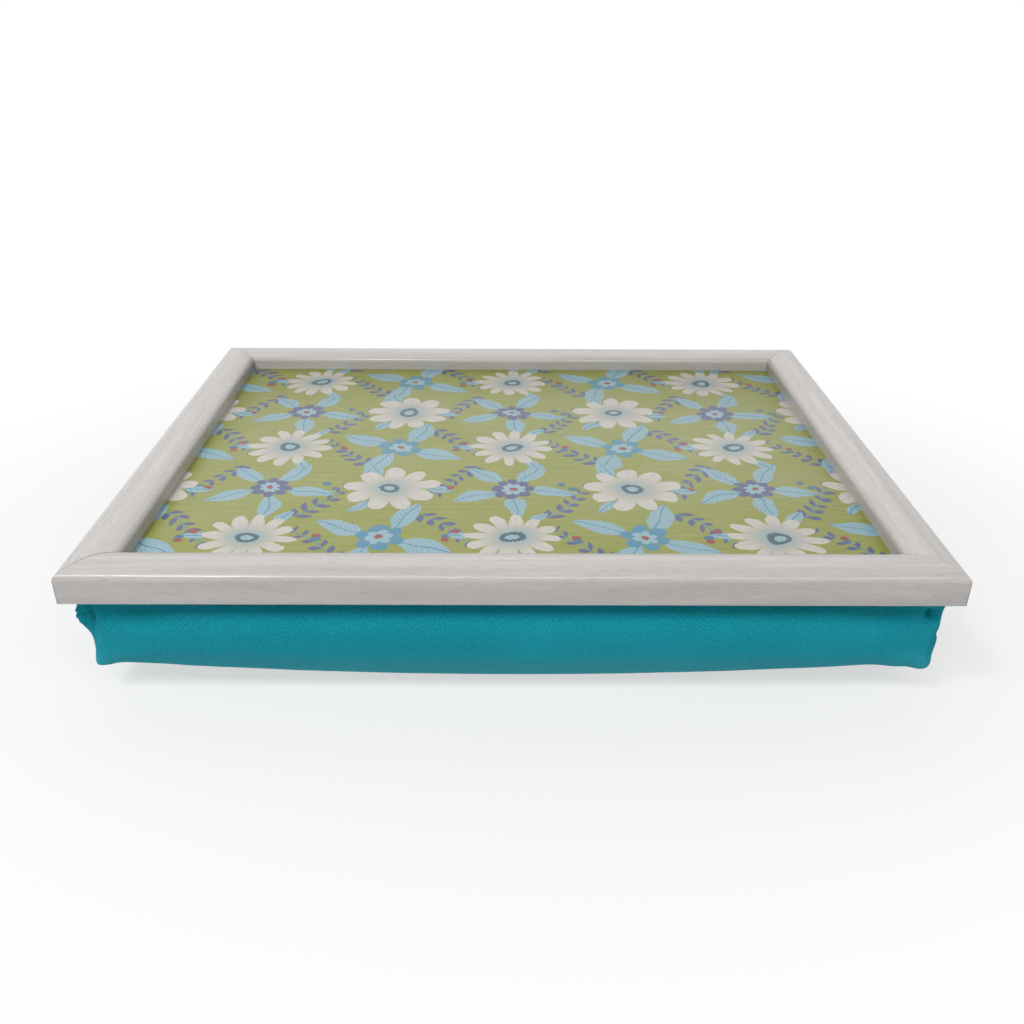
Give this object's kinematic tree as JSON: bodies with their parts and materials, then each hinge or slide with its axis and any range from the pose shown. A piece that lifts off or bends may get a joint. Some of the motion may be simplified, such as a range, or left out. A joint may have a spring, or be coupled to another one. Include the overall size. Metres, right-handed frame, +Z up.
{
  "type": "cushioned lap tray",
  "caption": "Rectangular lap tray: a mitred moulding frame round a sunk printed panel, fixed on a bead-filled cotton cushion.",
  "frame": {"origin": "centre of the flat patch under the cushion, on the surface that the tray stands on", "axes": "+X along the long side to the right, +Y from the front edge to the back edge, +Z up"},
  "size_m": [0.44, 0.34, 0.079],
  "materials": {
    "limed_wood": "satin",
    "film": "satin",
    "print": "matte",
    "fibreboard": "matte",
    "cotton": "matte",
    "bag_cloth": "matte",
    "beads": "matte",
    "steel": "satin"
  },
  "bodies": {
    "root": {"rail_front": "limed_wood", "rail_right": "limed_wood", "rail_back": "limed_wood", "rail_left": "limed_wood", "corner_nails_front_right": "steel", "corner_nails_back_right": "steel", "corner_nails_back_left": "steel", "corner_nails_front_left": "steel", "clear_film": "film", "print_sheet": "print", "panel_board": "fibreboard", "points_front": "steel", "points_right": "steel", "points_back": "steel", "points_left": "steel", "cushion_cover": "cotton", "bead_bag": "bag_cloth", "bead_fill": "beads", "staples_front": "steel", "staples_right": "steel", "staples_back": "steel", "staples_left": "steel"}
  },
  "joints": []
}
